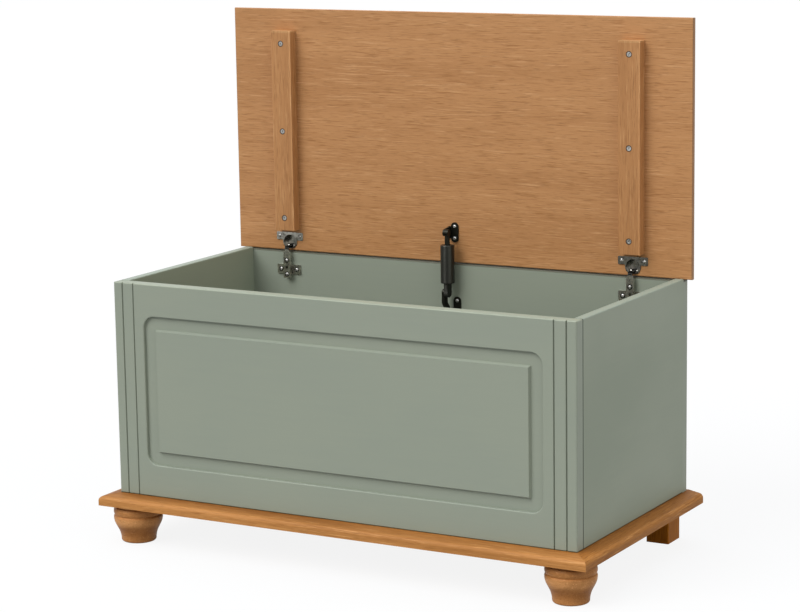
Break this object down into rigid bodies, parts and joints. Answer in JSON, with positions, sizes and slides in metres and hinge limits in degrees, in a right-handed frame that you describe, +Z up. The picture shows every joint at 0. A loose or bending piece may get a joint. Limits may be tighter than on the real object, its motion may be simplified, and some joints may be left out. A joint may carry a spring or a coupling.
{
  "type": "blanket box",
  "caption": "Painted lidded blanket box on an oak plinth with turned front feet; oak lid on cup hinges, held open by a folding stay.",
  "frame": {"origin": "on the floor under the middle of the plinth's footprint", "axes": "+X along the front to the right, +Y to the back where the lid is hinged, +Z up"},
  "size_m": [0.904, 0.459, 0.8716],
  "materials": {
    "sage_paint": "matt sage green paint",
    "oak_lid": "lacquered oak veneer",
    "oak_batten": "lacquered solid oak",
    "oak_plinth": "lacquered solid oak",
    "turned_wood": "stained turned wood",
    "beech": "bare fluted dowel",
    "nickel": "nickel plated",
    "zinc": "zinc plated",
    "black_metal": "black coated",
    "black_plastic": "fine satin"
  },
  "bodies": {
    "carcass": {"front_panel": "sage_paint", "left_corner_post": "sage_paint", "right_corner_post": "sage_paint", "left_side_panel": "sage_paint", "right_side_panel": "sage_paint", "back_panel": "sage_paint", "base_panel": "sage_paint", "plinth_front_moulding": "oak_plinth", "plinth_left_moulding": "oak_plinth", "plinth_right_moulding": "oak_plinth", "plinth_rear_rail": "oak_plinth", "front_left_bun_foot": "turned_wood", "front_right_bun_foot": "turned_wood", "rear_left_block_foot": "turned_wood", "rear_right_block_foot": "turned_wood", "corner_dowels": "beech", "back_panel_screws": "zinc", "plinth_screws": "zinc", "foot_bolts": "zinc", "left_hinge_plate": "nickel", "right_hinge_plate": "nickel", "left_hinge_arm": "nickel", "right_hinge_arm": "nickel", "hinge_plate_screws": "zinc", "hinge_arm_screws": "zinc", "stay_base_bracket": "black_metal", "stay_base_screws": "zinc", "stay_base_pin": "black_metal"},
    "lid": {"lid_panel": "oak_lid", "left_lid_batten": "oak_batten", "right_lid_batten": "oak_batten", "batten_screws": "zinc", "left_hinge_cup": "nickel", "right_hinge_cup": "nickel", "left_hinge_pin": "nickel", "right_hinge_pin": "nickel", "hinge_cup_screws": "zinc", "stay_lid_bracket": "black_metal", "stay_lid_screws": "zinc", "stay_lid_pin": "black_metal"},
    "stay_barrel_link": {"stay_rod": "black_metal", "stay_barrel": "black_plastic"},
    "stay_arm_link": {"stay_lower_arm": "black_metal", "stay_elbow_rivet": "black_metal"}
  },
  "joints": [
    {"name": "lid_hinge", "type": "hinge", "parent": "carcass", "child": "lid", "pos_m": [0, 0.2154, 0.4512], "axis": [1, 0, 0], "range_deg": [0, 90]},
    {"name": "stay_lid_pivot", "type": "hinge", "parent": "lid", "child": "stay_barrel_link", "pos_m": [-0.005, 0.1895, 0.4976], "axis": [1, 0, 0], "range_deg": [-104.7, 0]},
    {"name": "stay_base_pivot", "type": "hinge", "parent": "carcass", "child": "stay_arm_link", "pos_m": [-0.0043, 0.1905, 0.34311], "axis": [1, 0, 0], "range_deg": [0, 109.5]}
  ],
  "couplings": [
    {"joint": "stay_lid_pivot", "follows": "lid_hinge", "ratio": -1.1632},
    {"joint": "stay_base_pivot", "follows": "lid_hinge", "ratio": 1.2162}
  ]
}
